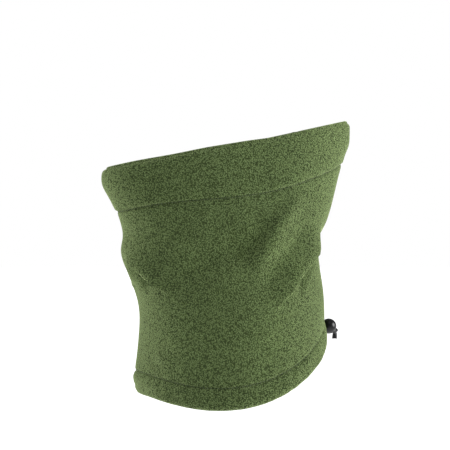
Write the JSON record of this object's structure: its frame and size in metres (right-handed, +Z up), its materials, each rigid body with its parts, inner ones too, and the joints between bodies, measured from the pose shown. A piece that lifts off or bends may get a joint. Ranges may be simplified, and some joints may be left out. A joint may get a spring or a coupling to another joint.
{
  "type": "neck gaiter",
  "caption": "Fleece neck gaiter: a tube of cloth with a deep turned-in hem round the face and an elastic drawcord casing round the neck, closed by a ball cord lock at the nape.",
  "frame": {"origin": "on the neck axis, level with the lower rim midway between its front and its nape", "axes": "+Z up the neck, -Y the way the wearer faces, +Y the nape with the cord lock, +X the wearer's left"},
  "size_m": [0.1734, 0.2442, 0.2668],
  "materials": {
    "fleece": "matt anti-pill polyester fleece, olive green",
    "thread": "spun polyester sewing thread",
    "label": "satin label tape, blank",
    "cord": "elastic cord with a braided polyester cover",
    "eyelet": "black oxide, satin",
    "lock": "moulded acetal, glossy black",
    "spring": "bright spring wire"
  },
  "bodies": {
    "gaiter": {"fleece_tube": "fleece", "top_hem_thread": "thread", "low_hem_thread": "thread", "back_seam_thread": "thread", "care_label": "label", "cord_eyelet": "eyelet", "eyelet_washer": "eyelet", "drawcord": "cord"},
    "lock": {"lock_barrel": "lock", "lock_spring": "spring", "left_cord_strand": "cord", "right_cord_strand": "cord"},
    "plunger": {"lock_plunger": "lock"},
    "knot": {"cord_knot": "cord", "left_cord_end": "cord", "right_cord_end": "cord", "left_cord_tail": "cord", "right_cord_tail": "cord"}
  },
  "joints": [
    {"name": "toggle_swing", "type": "hinge", "parent": "gaiter", "child": "lock", "pos_m": [0, 0.09967, 0.0375], "axis": [1, 0, 0], "range_deg": [0, 75], "deforming": ["left_cord_strand", "right_cord_strand"]},
    {"name": "plunger_press", "type": "slide", "parent": "lock", "child": "plunger", "axis": [1, 0, 0], "range_m": [0, 0.0022], "stiffness_N_per_m": 1200, "springref_m": -0.001, "deforming": ["lock_spring"]},
    {"name": "cord_draw", "type": "slide", "parent": "lock", "child": "knot", "axis": [0, 0.8192, -0.5736], "range_m": [0, 0.07], "deforming": ["left_cord_tail", "right_cord_tail"]}
  ]
}
